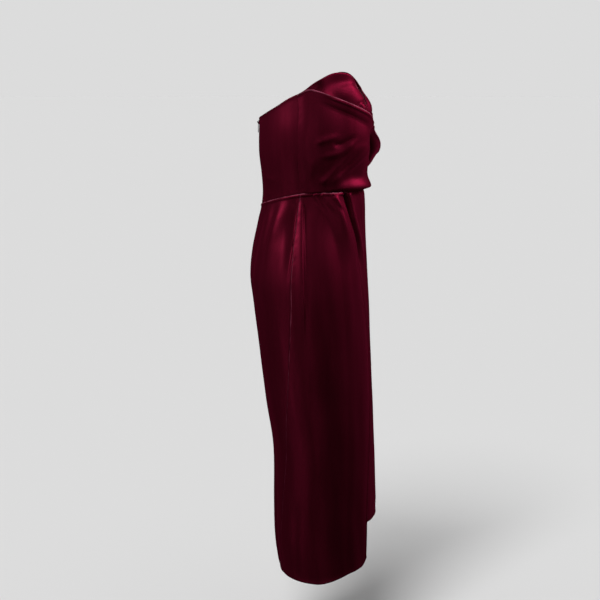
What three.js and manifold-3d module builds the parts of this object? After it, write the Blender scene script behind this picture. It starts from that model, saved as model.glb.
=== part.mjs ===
// A strapless velvet midi dress in its worn form: a wired-looking sweetheart bodice under two crossed
// drapes, a waist seam, and a pegged wrap skirt whose right front lies over the left front.
// Millimetres, +Z up. The origin is the middle of the waist seam. The wearer faces -Y, and the wearer's
// right side is -X. Angles run round the body in degrees: 0 is the right side, 90 the front, 180 the
// left side, and -90 or 270 the back.
import * as THREE from "three";
import { mergeVertices } from "three/addons/utils/BufferGeometryUtils.js";
import Module from "manifold-3d";

const wasm = await Module();
wasm.setup();

// ---- driving dimensions ----

const CLOTH = 1.8; // thickness of the velvet wall
const SEAM_GAP = 0.3; // space between two pieces at a seam
const LAYER = CLOTH + 1.2; // how far out the next layer of cloth starts
const HEM = -880; // height of the level hem
const SIDE_SEAM = -7; // angle of the right side seam on the bodice; the left one mirrors it
const CENTRE_FRONT = 90;
const CENTRE_BACK = -90;

// The general figure that the dress is cut for: half width, and depth to the front and to the back.
const FIGURE = [
  { height: 285, side: 136, front: 87, back: 112 },
  { height: 240, side: 148, front: 102, back: 117 },
  { height: 200, side: 154, front: 115, back: 119 },
  { height: 150, side: 157, front: 114, back: 121 },
  { height: 100, side: 151, front: 110, back: 121 },
  { height: 50, side: 139, front: 108, back: 116 },
  { height: 0, side: 131, front: 114, back: 114 },
  { height: -50, side: 143, front: 116, back: 121 },
  { height: -120, side: 165, front: 121, back: 135 },
  { height: -185, side: 180, front: 125, back: 141 },
  { height: -240, side: 184, front: 128, back: 135 },
  { height: -355, side: 179, front: 133, back: 122 },
  { height: -472, side: 170, front: 138, back: 107 },
  { height: -590, side: 162, front: 142, back: 89 },
  { height: -710, side: 157, front: 146, back: 87 },
  { height: -800, side: 155, front: 149, back: 85 },
  { height: -880, side: 154, front: 150, back: 74 },
];

// The two cups swell out of the figure: angle from the side, height, spread and how far they stand out.
const CUP = { angle: 62, spread: 20, height: 120, above: 120, below: 40, swell: 24 };

// Gathers where the two cups meet at the centre front: first the full bulge of the left cup's gathers,
// then each ridge. spread is in degrees and tall in millimetres.
const CUP_GATHERS = [
  { angle: 107, spread: 11, height: 204, tall: 30, rise: 6 },
  { angle: 77, spread: 1.9, height: 182, tall: 26, rise: 1.8 },
  { angle: 84, spread: 1.7, height: 184, tall: 30, rise: 2.4 },
  { angle: 95, spread: 1.6, height: 190, tall: 30, rise: 2.6 },
  { angle: 101, spread: 1.7, height: 196, tall: 34, rise: 2.8 },
  { angle: 107, spread: 1.8, height: 200, tall: 34, rise: 2.6 },
  { angle: 114, spread: 2.1, height: 198, tall: 30, rise: 2.2 },
];

// The neckline, on both sides: over the shoulder blades, up at the side, a peak over each cup, a deep V.
const NECKLINE = [
  { angle: -90, height: 172 },
  { angle: -60, height: 183 },
  { angle: -36, height: 202 },
  { angle: -18, height: 221 },
  { angle: 0, height: 237 },
  { angle: 20, height: 260 },
  { angle: 35, height: 273 },
  { angle: 48, height: 277 },
  { angle: 58, height: 273 },
  { angle: 66, height: 260 },
  { angle: 74, height: 241 },
  { angle: 82, height: 216 },
  { angle: 90, height: 196 },
];

// The waist seam is level across the front and dips behind.
const WAIST = { front: 15, back: -20, levelTo: 10 };

// The folded upper edge of the right drape: from the right side seam along the neckline, over the cup,
// across the front and down over the left cup to the left side seam. standOff is how far the edge rolls
// off the cloth below it, and depth how far down the roll reaches. The roll is largest on the left cup.
const DRAPE_EDGE = [
  { angle: -7, height: 229, standOff: 0, depth: 20 },
  { angle: 6, height: 240, standOff: 0, depth: 20 },
  { angle: 16, height: 237, standOff: 2, depth: 20 },
  { angle: 27, height: 229, standOff: 3, depth: 20 },
  { angle: 45, height: 213, standOff: 4, depth: 22 },
  { angle: 60, height: 197, standOff: 4, depth: 24 },
  { angle: 74, height: 178, standOff: 3, depth: 28 },
  { angle: 90, height: 150, standOff: 5, depth: 34 },
  { angle: 102, height: 126, standOff: 12, depth: 40 },
  { angle: 112, height: 108, standOff: 18, depth: 42 },
  { angle: 122, height: 92, standOff: 18, depth: 38 },
  { angle: 134, height: 76, standOff: 11, depth: 30 },
  { angle: 150, height: 60, standOff: 3, depth: 24 },
  { angle: 176, height: 44, standOff: 0, depth: 20 },
];
const ROLL_ROUNDNESS = 0.7; // below 1, the roll tucks in sharply at its foot
const DRAPE_END = 176; // where the right drape ends at the left side seam
const LEFT_DRAPE_END = 72; // the left drape ends under the right one
const LEFT_DRAPE_DROP = 8; // the least that its edge lies below the neckline

// The right drape blouses over the waist seam at the front.
const BLOUSE = { angle: 74, spread: 31, out: 14, rise: 11, fade: 0.75, fadeFrom: 60, fadeTo: 190 };
const BLOUSE_ROLL = { angle: 66, spread: 26, above: 14, width: 11, out: 8 };

// Drag folds in the right drape: each climbs from the side towards the front. bow lifts its middle.
const DRAPE_FOLDS = [
  { from: 8, to: 52, low: 128, high: 150, bow: 2, width: 8, rise: 2.6 },
  { from: 8, to: 66, low: 104, high: 132, bow: -8, width: 9, rise: 4.2 },
  { from: 18, to: 92, low: 74, high: 132, bow: -4, width: 10, rise: 4.6 },
  { from: 12, to: 78, low: 44, high: 98, bow: 2, width: 10, rise: 3.6 },
  { from: 96, to: 150, low: 112, high: 52, bow: -6, width: 9, rise: 3.2 },
  { from: 100, to: 168, low: 84, high: 36, bow: -4, width: 8, rise: 2.6 },
];

// The skirt's side seam swings back as it falls, and so do the two free edges of the wrap, which are
// given by how far they lie to the wearer's right.
const SKIRT_SEAM = [
  { height: 20, angle: -7 },
  { height: -120, angle: -8 },
  { height: -240, angle: -12 },
  { height: -430, angle: -25 },
  { height: -560, angle: -38 },
  { height: -705, angle: -49 },
  { height: -880, angle: -61 },
];
const WRAP_EDGE = [
  { height: 20, right: 98 },
  { height: -95, right: 88 },
  { height: -185, right: 68 },
  { height: -250, right: 48 },
  { height: -340, right: 42 },
  { height: -458, right: 50 },
  { height: -600, right: 68 },
  { height: -705, right: 80 },
  { height: -880, right: 92 },
];
const UNDERLAP_EDGE = [
  { height: 20, right: 114 },
  { height: -240, right: 108 },
  { height: -880, right: 114 },
];

// The right front rolls off the left front along its free edge, most of all near the waist.
const WRAP_ROLL = { out: 7, width: 16, fadeTo: -300, least: 1 };
const WRAP_CORNER = { rise: 32, from: 0.45 }; // the hem lifts over this share of the panel to its free corner
// The left front is cut shorter across the front and drops to the level hem at the left side.
const LEFT_HEM = { front: -752, levelTo: 112, side: 214 };

// Tucks and gathers that fall from the waist seam: angle at the waist and at the foot, length, width
// at the waist and at the foot, and rise. Those of the right front and of the left front.
const RIGHT_TUCKS = [
  { top: -4, foot: 1, length: 350, width: 5, footWidth: 12, rise: 5.5 },
  { top: 12, foot: 12, length: 70, width: 4, footWidth: 6, rise: 1.8 },
  { top: 19, foot: 21, length: 90, width: 4, footWidth: 6, rise: 2.4 },
  { top: 27, foot: 31, length: 110, width: 4, footWidth: 7, rise: 2.6 },
  { top: 35, foot: 46, length: 260, width: 5, footWidth: 16, rise: 3.4 },
];
const LEFT_TUCKS = [
  { top: 55, foot: 76, length: 190, width: 4, footWidth: 8, rise: 3.6 },
  { top: 122, foot: 108, length: 250, width: 5, footWidth: 12, rise: 4 },
  { top: 133, foot: 124, length: 220, width: 5, footWidth: 12, rise: 3.8 },
  { top: 153, foot: 150, length: 90, width: 4, footWidth: 6, rise: 2.2 },
  { top: 184, foot: 179, length: 330, width: 5, footWidth: 12, rise: 5 },
];
// Soft vertical folds in each back panel, at the angle from the centre back.
const BACK_FOLDS = [
  { top: -62, foot: -66, length: 240, width: 7, footWidth: 16, rise: -2.6 },
  { top: -30, foot: -44, length: 420, width: 8, footWidth: 18, rise: 3 },
];

// The concealed zip in the centre back seam: its slider and the pull that hangs from it.
const SLIDER = { width: 5, length: 9, thick: 1.8, below: 9 };
const RING = { outer: 2.6, inner: 1.2, thick: 1.5, clear: 0.95 };
const PULL = { eye: 1.35, bar: 0.55, reach: 3.3, length: 24, halfWidth: 2.9, thick: 0.9 };

// ---- shape of the body and of the seams ----

const radians = (degrees) => (degrees * Math.PI) / 180;
const bell = (x) => Math.exp(-x * x);
const mix = (a, b, share) => a + (b - a) * share;
const step = (x) => {
  const s = Math.min(1, Math.max(0, x));
  return s * s * (3 - 2 * s);
};

// A smooth curve through one column of a table, read at a value of its key column.
function curve(table, key, column) {
  const rows = [...table].sort((a, b) => a[key] - b[key]);
  const last = rows.length - 1;
  const slope = rows.map((row, i) => {
    const before = rows[Math.max(0, i - 1)];
    const after = rows[Math.min(last, i + 1)];
    return (after[column] - before[column]) / (after[key] - before[key]);
  });
  return (at) => {
    const x = Math.min(rows[last][key], Math.max(rows[0][key], at));
    let i = 0;
    while (i < last - 1 && x > rows[i + 1][key]) i += 1;
    const width = rows[i + 1][key] - rows[i][key];
    const s = (x - rows[i][key]) / width;
    const start = rows[i][column] * (1 + 2 * s) * (1 - s) ** 2 + slope[i] * width * s * (1 - s) ** 2;
    const end = rows[i + 1][column] * (3 - 2 * s) * s * s + slope[i + 1] * width * s * s * (s - 1);
    return start + end;
  };
}

const sideAt = curve(FIGURE, "height", "side");
const frontAt = curve(FIGURE, "height", "front");
const backAt = curve(FIGURE, "height", "back");
const necklineAt = curve(NECKLINE, "angle", "height");
const drapeEdgeAt = curve(DRAPE_EDGE, "angle", "height");
const standOffAt = curve(DRAPE_EDGE, "angle", "standOff");
const rollDepthAt = curve(DRAPE_EDGE, "angle", "depth");
const skirtSeamAt = curve(SKIRT_SEAM, "height", "angle");
const wrapEdgeAt = curve(WRAP_EDGE, "height", "right");
const underlapEdgeAt = curve(UNDERLAP_EDGE, "height", "right");

// The same place on the wearer's right half: angles past the centre front or centre back are mirrored.
function onRightHalf(angle) {
  const turned = ((((angle + 90) % 360) + 360) % 360) - 90;
  return turned > 90 ? 180 - turned : turned;
}

const neckline = (angle) => necklineAt(onRightHalf(angle));

function waist(angle) {
  const towardsBack = (WAIST.levelTo - onRightHalf(angle)) / (WAIST.levelTo - CENTRE_BACK);
  return mix(WAIST.front, WAIST.back, step(towardsBack));
}

function cupSwell(angle, height) {
  const tall = height > CUP.height ? CUP.above : CUP.below;
  const round = bell((onRightHalf(angle) - CUP.angle) / CUP.spread);
  const mirrored = bell((180 - onRightHalf(angle) - CUP.angle) / CUP.spread);
  return CUP.swell * bell((height - CUP.height) / tall) * (round + mirrored);
}

function gatherRise(angle, height) {
  let rise = 0;
  for (const gather of CUP_GATHERS) {
    rise += gather.rise * bell((angle - gather.angle) / gather.spread) * bell((height - gather.height) / gather.tall);
  }
  return rise;
}

// The plan direction that points straight out of the figure at an angle and height.
function outward(angle, height) {
  const depth = (frontAt(height) + backAt(height)) / 2;
  const across = Math.cos(radians(angle)) / sideAt(height);
  const along = Math.sin(radians(angle)) / depth;
  return new THREE.Vector3(-across, -along, 0).normalize();
}

function figurePoint(angle, height, out) {
  const front = frontAt(height);
  const back = backAt(height);
  const right = sideAt(height) * Math.cos(radians(angle));
  const forward = (front - back) / 2 + ((front + back) / 2) * Math.sin(radians(angle));
  const swell = cupSwell(angle, height) + gatherRise(angle, height) + out;
  return new THREE.Vector3(-right, -forward, height).addScaledVector(outward(angle, height), swell);
}

// The angle at which a point lies this far to the wearer's right, on the front of the figure.
const angleOfRight = (right, height) => THREE.MathUtils.radToDeg(Math.acos(right / sideAt(height)));

const millimetresPerDegree = (height) => radians(1) * Math.sqrt((sideAt(height) ** 2 + frontAt(height) ** 2) / 2);

// ---- folds ----

// A tuck or fold that falls from the waist seam, as the distance that it lifts the cloth.
function tuckRise(tucks, angle, height) {
  let rise = 0;
  for (const tuck of tucks) {
    const fall = (waist(angle) - height) / tuck.length;
    if (fall > 1) continue;
    const at = mix(tuck.top, tuck.foot, fall);
    const away = (angle - at) * millimetresPerDegree(height);
    const fade = 1 - step(fall);
    rise += tuck.rise * fade * bell(away / mix(tuck.width, tuck.footWidth, fall));
  }
  return rise;
}

function drapeFoldRise(angle, height) {
  let rise = 0;
  for (const fold of DRAPE_FOLDS) {
    const along = (angle - fold.from) / (fold.to - fold.from);
    if (along <= 0 || along >= 1) continue;
    const lifted = mix(fold.low, fold.high, along) + fold.bow * 4 * along * (1 - along);
    rise += fold.rise * Math.sin(Math.PI * along) ** 0.7 * bell((height - lifted) / fold.width);
  }
  return rise;
}

// ---- walls of cloth ----

// Joins an inner and an outer grid of points into one closed solid.
function closedWall(inner, outer, columns, rows) {
  const count = (columns + 1) * (rows + 1);
  const positions = [...inner, ...outer].flatMap((point) => point.toArray());
  const at = (column, row) => row * (columns + 1) + column;
  const faces = [];
  const quad = (a, b, c, d) => faces.push(a, b, c, a, c, d);
  for (let row = 0; row < rows; row += 1) {
    for (let column = 0; column < columns; column += 1) {
      const corners = [at(column, row), at(column + 1, row), at(column + 1, row + 1), at(column, row + 1)];
      quad(...corners);
      quad(...corners.map((corner) => corner + count).reverse());
    }
  }
  const rim = [];
  for (let column = 0; column < columns; column += 1) rim.push(at(column, 0));
  for (let row = 0; row < rows; row += 1) rim.push(at(columns, row));
  for (let column = columns; column > 0; column -= 1) rim.push(at(column, rows));
  for (let row = rows; row > 0; row -= 1) rim.push(at(0, row));
  rim.forEach((a, i) => {
    const b = rim[(i + 1) % rim.length];
    quad(b, a, a + count, b + count);
  });
  const geometry = new THREE.BufferGeometry();
  geometry.setAttribute("position", new THREE.Float32BufferAttribute(positions, 3));
  geometry.setIndex(faces);
  return facingOut(geometry);
}

function signedVolume(geometry) {
  const points = geometry.getAttribute("position");
  const index = geometry.getIndex();
  const corner = [new THREE.Vector3(), new THREE.Vector3(), new THREE.Vector3()];
  let volume = 0;
  for (let i = 0; i < index.count; i += 3) {
    corner.forEach((point, j) => point.fromBufferAttribute(points, index.getX(i + j)));
    volume += corner[0].dot(corner[1].clone().cross(corner[2])) / 6;
  }
  return volume;
}

function facingOut(geometry) {
  if (signedVolume(geometry) < 0) geometry.setIndex([...geometry.getIndex().array].reverse());
  geometry.computeVertexNormals();
  return geometry;
}

// A panel of cloth: place(across, down) gives the angle, height and distance out of its inner face.
function clothPanel(columns, rows, place) {
  const LEAST_FACING = 0.5; // on steep cloth the wall grows no thicker across than this allows
  const places = [];
  for (let row = 0; row <= rows; row += 1) {
    for (let column = 0; column <= columns; column += 1) places.push(place(column / columns, row / rows));
  }
  const inner = places.map(({ angle, height, out }) => figurePoint(angle, height, out));
  const at = (column, row) =>
    inner[Math.min(rows, Math.max(0, row)) * (columns + 1) + Math.min(columns, Math.max(0, column))];
  const outer = places.map(({ angle, height }, i) => {
    const column = i % (columns + 1);
    const row = Math.floor(i / (columns + 1));
    const across = at(column + 1, row).clone().sub(at(column - 1, row));
    const down = at(column, row + 1).clone().sub(at(column, row - 1));
    const out = outward(angle, height);
    const facing = Math.abs(across.cross(down).normalize().dot(out));
    return inner[i].clone().addScaledVector(out, CLOTH / Math.max(LEAST_FACING, facing));
  });
  return closedWall(inner, outer, columns, rows);
}

const velvet = new THREE.MeshStandardMaterial({ color: 0x4a0616, roughness: 0.85, metalness: 0 });
const zipMetal = new THREE.MeshStandardMaterial({ color: 0x3a0a14, roughness: 0.4, metalness: 0.6 });
const dress = new THREE.Group();

function addPiece(name, geometry, material) {
  const mesh = new THREE.Mesh(geometry, material);
  mesh.name = name;
  dress.add(mesh);
  return mesh;
}

// Narrows a stretch of angles by half a seam gap at each end.
function betweenSeams(from, to, height, share) {
  const gap = (Math.sign(to - from) * SEAM_GAP) / 2 / millimetresPerDegree(height);
  return mix(from + gap, to - gap, share);
}

// ---- bodice ----

// The foundation of the bodice: one panel from one seam to the next, from the neckline to the waist
// seam. crowding above 1 draws the columns together towards the second seam.
function bodicePanel(from, to, columns, rows, crowding) {
  return clothPanel(columns, rows, (across, down) => {
    const angle = betweenSeams(from, to, 0, 1 - (1 - across) ** crowding);
    const height = mix(neckline(angle), waist(angle) + SEAM_GAP / 2, down);
    return { angle, height, out: 0 };
  });
}

const FRONT_CROWDING = 1.7; // for the gathers at the centre front
addPiece("bodice_front_right", bodicePanel(SIDE_SEAM, CENTRE_FRONT, 24, 12, FRONT_CROWDING), velvet);
addPiece("bodice_front_left", bodicePanel(180 - SIDE_SEAM, CENTRE_FRONT, 24, 12, FRONT_CROWDING), velvet);
addPiece("bodice_back_right", bodicePanel(CENTRE_BACK, SIDE_SEAM, 8, 8, 1), velvet);
addPiece("bodice_back_left", bodicePanel(180 - SIDE_SEAM, 270, 8, 8, 1), velvet);

// How far the right drape hangs off the layers under it.
function rightDrapeLoose(angle, height) {
  const edge = drapeEdgeAt(angle);
  const above = height - waist(angle);
  const swell = bell((angle - BLOUSE.angle) / BLOUSE.spread) * BLOUSE.out;
  const gathered = step(above / BLOUSE.rise);
  const fade = 1 - BLOUSE.fade * step((height - BLOUSE.fadeFrom) / (BLOUSE.fadeTo - BLOUSE.fadeFrom));
  const rollAcross = bell((angle - BLOUSE_ROLL.angle) / BLOUSE_ROLL.spread);
  const rollUp = bell((above - BLOUSE_ROLL.above) / BLOUSE_ROLL.width);
  const roll = BLOUSE_ROLL.out * rollAcross * rollUp;
  const down = Math.min(1, Math.max(0, (edge - height) / rollDepthAt(angle)));
  const edgeStand = standOffAt(angle) * (1 - down * down) ** ROLL_ROUNDNESS;
  return gathered * (swell * fade + roll + drapeFoldRise(angle, height) + edgeStand);
}

// The right drape lies on the foundation, and past OVERLAP it lies on the left drape as well.
const OVERLAP = { from: 52, to: 68 };
const DRAPE_ROWS_TOWARDS_WAIST = 1.35;

function rightDrape() {
  return clothPanel(48, 20, (across, down) => {
    const angle = betweenSeams(SIDE_SEAM, DRAPE_END, 0, across);
    const foot = waist(angle) + SEAM_GAP / 2;
    const height = mix(foot, drapeEdgeAt(angle), (1 - down) ** DRAPE_ROWS_TOWARDS_WAIST);
    const layers = LAYER * (1 + step((angle - OVERLAP.from) / (OVERLAP.to - OVERLAP.from)));
    return { angle, height, out: layers + rightDrapeLoose(angle, height) };
  });
}

// The left drape mirrors the right one's upper edge and lies flatter, because the right one holds it.
function leftDrape() {
  return clothPanel(20, 10, (across, down) => {
    const angle = betweenSeams(LEFT_DRAPE_END, 180 - SIDE_SEAM, 0, across);
    const edge = Math.min(drapeEdgeAt(180 - angle), neckline(angle) - LEFT_DRAPE_DROP);
    const height = mix(edge, waist(angle) + SEAM_GAP / 2, down);
    return { angle, height, out: LAYER };
  });
}

addPiece("bodice_drape_right", rightDrape(), velvet);
addPiece("bodice_drape_left", leftDrape(), velvet);

// ---- skirt ----

const SKIRT_ROWS = 22; // the same in every panel, so that they meet along their seams
const ROWS_TOWARDS_WAIST = 1.45;

// Heights from the waist seam down to a foot, closer together near the waist where the tucks are.
const skirtHeight = (angle, foot, down) => mix(waist(angle) - SEAM_GAP / 2, foot, down ** ROWS_TOWARDS_WAIST);

function wrapRoll(height, fromEdge) {
  const strength = mix(WRAP_ROLL.out, WRAP_ROLL.least, step(height / WRAP_ROLL.fadeTo));
  return strength * bell(fromEdge / WRAP_ROLL.width);
}

const WRAP_AT_WAIST = 42; // the angles of the two free edges at the waist seam
const UNDERLAP_AT_WAIST = 30;
const STEP_UP = { before: 14, over: 10 }; // the degrees over which the wrap climbs onto the underlap

function skirtFrontRight() {
  return clothPanel(34, SKIRT_ROWS, (across, down) => {
    const foot = HEM + WRAP_CORNER.rise * step((across - WRAP_CORNER.from) / (1 - WRAP_CORNER.from));
    const height = skirtHeight(mix(SIDE_SEAM, WRAP_AT_WAIST, across), foot, down);
    const end = angleOfRight(wrapEdgeAt(height), height);
    const start = skirtSeamAt(height) + SEAM_GAP / millimetresPerDegree(height) / 2;
    const angle = mix(start, end, across);
    const fromEdge = (end - angle) * millimetresPerDegree(height);
    const under = angleOfRight(underlapEdgeAt(height), height);
    const layers = LAYER * step((angle - under + STEP_UP.before) / STEP_UP.over);
    const out = layers + tuckRise(RIGHT_TUCKS, angle, height) + wrapRoll(height, fromEdge);
    return { angle, height, out };
  });
}

function leftHem(angle) {
  return mix(LEFT_HEM.front, HEM, step((angle - LEFT_HEM.levelTo) / (LEFT_HEM.side - LEFT_HEM.levelTo)));
}

const UNDERLAP_AT_HEM = 54; // the angles of the left front's two sides at the hem
const LEFT_SEAM_AT_HEM = 226;

function skirtFrontLeft() {
  return clothPanel(32, SKIRT_ROWS, (across, down) => {
    const foot = leftHem(mix(UNDERLAP_AT_HEM, LEFT_SEAM_AT_HEM, across));
    const height = skirtHeight(mix(UNDERLAP_AT_WAIST, 180 - SIDE_SEAM, across), foot, down);
    const start = angleOfRight(underlapEdgeAt(height), height);
    const end = 180 - skirtSeamAt(height) - SEAM_GAP / millimetresPerDegree(height) / 2;
    const angle = mix(start, end, across);
    return { angle, height, out: tuckRise(LEFT_TUCKS, angle, height) };
  });
}

// One back panel: side is 1 on the wearer's right and -1 on the left.
function skirtBack(side) {
  return clothPanel(10, SKIRT_ROWS, (across, down) => {
    const height = skirtHeight(mix(CENTRE_BACK, SIDE_SEAM, across), HEM, down);
    const gap = SEAM_GAP / 2 / millimetresPerDegree(height);
    const angle = mix(CENTRE_BACK + gap, skirtSeamAt(height) - gap, across);
    const out = tuckRise(BACK_FOLDS, angle, height);
    return { angle: side > 0 ? angle : 180 - angle, height, out };
  });
}

addPiece("skirt_front_left", skirtFrontLeft(), velvet);
addPiece("skirt_front_right", skirtFrontRight(), velvet);
addPiece("skirt_back_right", skirtBack(1), velvet);
addPiece("skirt_back_left", skirtBack(-1), velvet);

// ---- zip ----

function toSolid(geometry) {
  const bare = geometry.clone();
  bare.deleteAttribute("normal");
  bare.deleteAttribute("uv");
  const merged = mergeVertices(bare, 1e-4);
  const mesh = new wasm.Mesh({
    numProp: 3,
    vertProperties: merged.getAttribute("position").array,
    triVerts: new Uint32Array(merged.getIndex().array),
  });
  return new wasm.Manifold(mesh);
}

function toGeometry(solid) {
  const mesh = solid.getMesh();
  const geometry = new THREE.BufferGeometry();
  geometry.setAttribute("position", new THREE.BufferAttribute(mesh.vertProperties, 3));
  geometry.setIndex(new THREE.BufferAttribute(mesh.triVerts, 1));
  geometry.computeVertexNormals();
  return geometry;
}

// The pivot of the pull: behind the centre back seam, just under the neckline.
const sliderTop = neckline(CENTRE_BACK) - 2;
const clothBack = Math.max(...[0, 10, 20, 30].map((drop) => backAt(sliderTop - drop))) + CLOTH;
const sliderFace = clothBack + SEAM_GAP + SLIDER.thick;
const pivot = new THREE.Vector3(0, sliderFace + RING.clear, sliderTop - SLIDER.below / 2);

// The slider: a flat body with a ring standing out of it, which holds the pull.
function zipSlider() {
  const body = new THREE.BoxGeometry(SLIDER.width, SLIDER.thick, SLIDER.length);
  body.translate(0, sliderFace - SLIDER.thick / 2, pivot.z);
  const circle = new THREE.Shape().absarc(0, 0, RING.outer, 0, 2 * Math.PI);
  circle.holes.push(new THREE.Path().absarc(0, 0, RING.inner, 0, 2 * Math.PI));
  const ring = new THREE.ExtrudeGeometry(circle, { depth: RING.thick, bevelEnabled: false, curveSegments: 16 });
  ring.translate(0, 0, -RING.thick / 2);
  ring.rotateY(Math.PI / 2);
  ring.translate(pivot.x, pivot.y, pivot.z);
  const behind = new THREE.BoxGeometry(20, 20, 20);
  behind.translate(0, clothBack + SEAM_GAP - 10, pivot.z);
  const pullRoom = new THREE.BoxGeometry(RING.thick + 2, 2 * PULL.bar + 0.6, 2 * RING.inner);
  pullRoom.translate(pivot.x, pivot.y, pivot.z);
  const solid = toSolid(body).add(toSolid(ring)).subtract(toSolid(pullRoom)).subtract(toSolid(behind));
  return toGeometry(solid);
}

// The pull: a flat drop shape whose eye goes through the slider's ring.
function zipPull() {
  const top = PULL.bar;
  const shape = new THREE.Shape();
  shape.moveTo(-PULL.halfWidth * 0.75, top);
  shape.lineTo(PULL.halfWidth * 0.75, top);
  shape.lineTo(PULL.halfWidth, -PULL.length + PULL.halfWidth);
  shape.absarc(0, -PULL.length + PULL.halfWidth, PULL.halfWidth, 0, -Math.PI, true);
  shape.closePath();
  const eye = new THREE.Path();
  eye.moveTo(-PULL.eye, -PULL.bar);
  eye.lineTo(-PULL.eye, -PULL.reach);
  eye.lineTo(PULL.eye, -PULL.reach);
  eye.lineTo(PULL.eye, -PULL.bar);
  eye.closePath();
  shape.holes.push(eye);
  const geometry = new THREE.ExtrudeGeometry(shape, { depth: PULL.thick, bevelEnabled: false, curveSegments: 12 });
  geometry.translate(0, 0, -PULL.thick / 2);
  geometry.rotateX(Math.PI / 2);
  return geometry;
}

addPiece("zip_slider", zipSlider(), zipMetal);
addPiece("zip_pull", zipPull(), zipMetal).position.copy(pivot);

export default dress;
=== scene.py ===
import math

import bpy
import numpy as np
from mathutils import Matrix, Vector


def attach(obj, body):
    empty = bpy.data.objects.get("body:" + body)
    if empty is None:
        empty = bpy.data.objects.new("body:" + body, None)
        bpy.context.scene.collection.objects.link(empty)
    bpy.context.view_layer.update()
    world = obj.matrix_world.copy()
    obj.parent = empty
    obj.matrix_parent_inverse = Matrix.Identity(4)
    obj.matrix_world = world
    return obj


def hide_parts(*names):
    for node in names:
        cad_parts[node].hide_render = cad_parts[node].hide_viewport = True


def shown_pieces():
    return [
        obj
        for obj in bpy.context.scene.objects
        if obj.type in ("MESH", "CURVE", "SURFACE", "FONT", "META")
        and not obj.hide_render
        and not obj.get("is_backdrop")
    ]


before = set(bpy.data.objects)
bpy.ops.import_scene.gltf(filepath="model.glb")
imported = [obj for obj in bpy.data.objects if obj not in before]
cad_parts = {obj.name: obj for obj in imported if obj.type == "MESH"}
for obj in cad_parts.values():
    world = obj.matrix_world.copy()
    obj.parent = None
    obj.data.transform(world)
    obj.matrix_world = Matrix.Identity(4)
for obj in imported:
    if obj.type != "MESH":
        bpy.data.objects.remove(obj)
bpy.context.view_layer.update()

# ---- camera ----
# A camera on a stand at the height of the neckline, at the wearer's right side and turned a little
# to the front. It is made first.
CAMERA_PLACE = (-3.384, -0.326, 0.299)  # metres
LOOKS_AT = (0.0, 0.030, -0.246)
FILM_WIDTH, LENS = 36.0, 88.8  # mm
camera_data = bpy.data.cameras.new("camera")
camera_data.sensor_width = FILM_WIDTH
camera_data.lens = LENS
camera = bpy.data.objects.new("camera", camera_data)
bpy.context.scene.collection.objects.link(camera)
camera.location = CAMERA_PLACE
ahead = Vector(LOOKS_AT) - camera.location
camera.rotation_euler = ahead.to_track_quat("-Z", "Y").to_euler()
bpy.context.scene.camera = camera

# ---- bodice foundation, fronts ----
# The fitted part of the bodice, cut in velvet on a firm backing, with one shaped front on each side
# that makes the cup. They are sewn to each other at the centre front and to the backs at the sides.
# Lengths are in mm. Angles are in degrees from the wearer's right side, with 90 at the front.
MM = 0.001
CLOTH = 1.7  # thickness of the velvet with its backing
LAYER = 3.0  # how far out the next layer of cloth lies
SEAM_GAP = 0.1  # between two pieces sewn to each other
SIDE_SEAM, LEFT_SIDE_SEAM = -7.0, 187.0
CENTRE_BACK, CENTRE_FRONT = -90, 90
FIGURE = [  # height, half width, depth to the front, depth to the back
    (285, 136, 87, 112), (240, 148, 102, 117), (200, 154, 115, 119), (150, 157, 114, 121),
    (100, 151, 110, 121), (50, 139, 108, 116), (0, 131, 114, 114), (-50, 143, 116, 121),
    (-120, 165, 121, 135), (-185, 180, 125, 141), (-240, 184, 128, 135), (-355, 179, 133, 122),
    (-472, 170, 138, 107), (-590, 162, 142, 89), (-710, 157, 146, 87), (-800, 155, 149, 85),
    (-880, 154, 150, 74),
]
NECKLINE = [  # angle, height
    (-90, 172), (-60, 183), (-36, 202), (-18, 221), (0, 237), (17, 260), (30, 273), (41, 277),
    (54, 273), (64, 260), (74, 241), (82, 216), (90, 196),
]
WAIST_FRONT, WAIST_BACK = 15, -20  # height of the waist seam
WAIST_FALLS_FROM, WAIST_FALLS_OVER = 10, 100  # angles
CUP, CUP_ANGLE, CUP_SPREAD = 24, 62, 20  # how far a cup swells, and where
CUP_HEIGHT, CUP_ABOVE, CUP_BELOW = 120, 120, 40  # where it is fullest, and its reach from there
HOLLOW, HOLLOW_ANGLE, HOLLOW_SPREAD = 10, 89, 9  # between the cups
HOLLOW_HEIGHT, HOLLOW_REACH = 125, 42
CUP_GATHERS = [  # angle, spread, height, half height, rise: the full left cup, then its gathers
    (107, 11, 204, 30, 6.0), (77, 1.9, 182, 26, 1.8), (84, 1.7, 184, 30, 2.4),
    (95, 1.6, 190, 30, 2.6), (101, 1.7, 196, 34, 2.8), (107, 1.8, 200, 34, 2.6),
    (114, 2.1, 198, 30, 2.2),
]
CUP_FOLDS = [  # line of (angle, height), width above and below it, rise, fades at its two ends
    ([(30, 232), (43, 239), (54, 245), (63, 238), (69, 224), (71, 203)], 10, 20, 6.5, (0.5, 0.2)),
    ([(20, 230), (32, 221), (42, 213), (50, 206), (58, 198), (64, 190)], 16, 9, -9.0, (0.5, 0.2)),
    ([(62, 211), (66, 202), (68, 191)], 3, 4, 3.8, (0.3, 0.4)),
    (
        [(4, 250), (18, 265), (30, 276), (41, 280), (54, 276), (64, 263), (74, 243)],
        8, 19, 13, (0.2, 0.3),
    ),
    ([(72, 213), (73, 200), (74, 186)], 3, 3, -2.6, (0.3, 0.3)),
]
SUNK, SUNK_SPREAD = 1.9, 6  # how deep the fronts sink under the drape at the side seam
FINE_STEPS = 6  # along a fold, for each of the points of its line


def mix(low, high, share):
    return low + (high - low) * share


def bell(x):
    return np.exp(-np.square(x))


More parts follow.
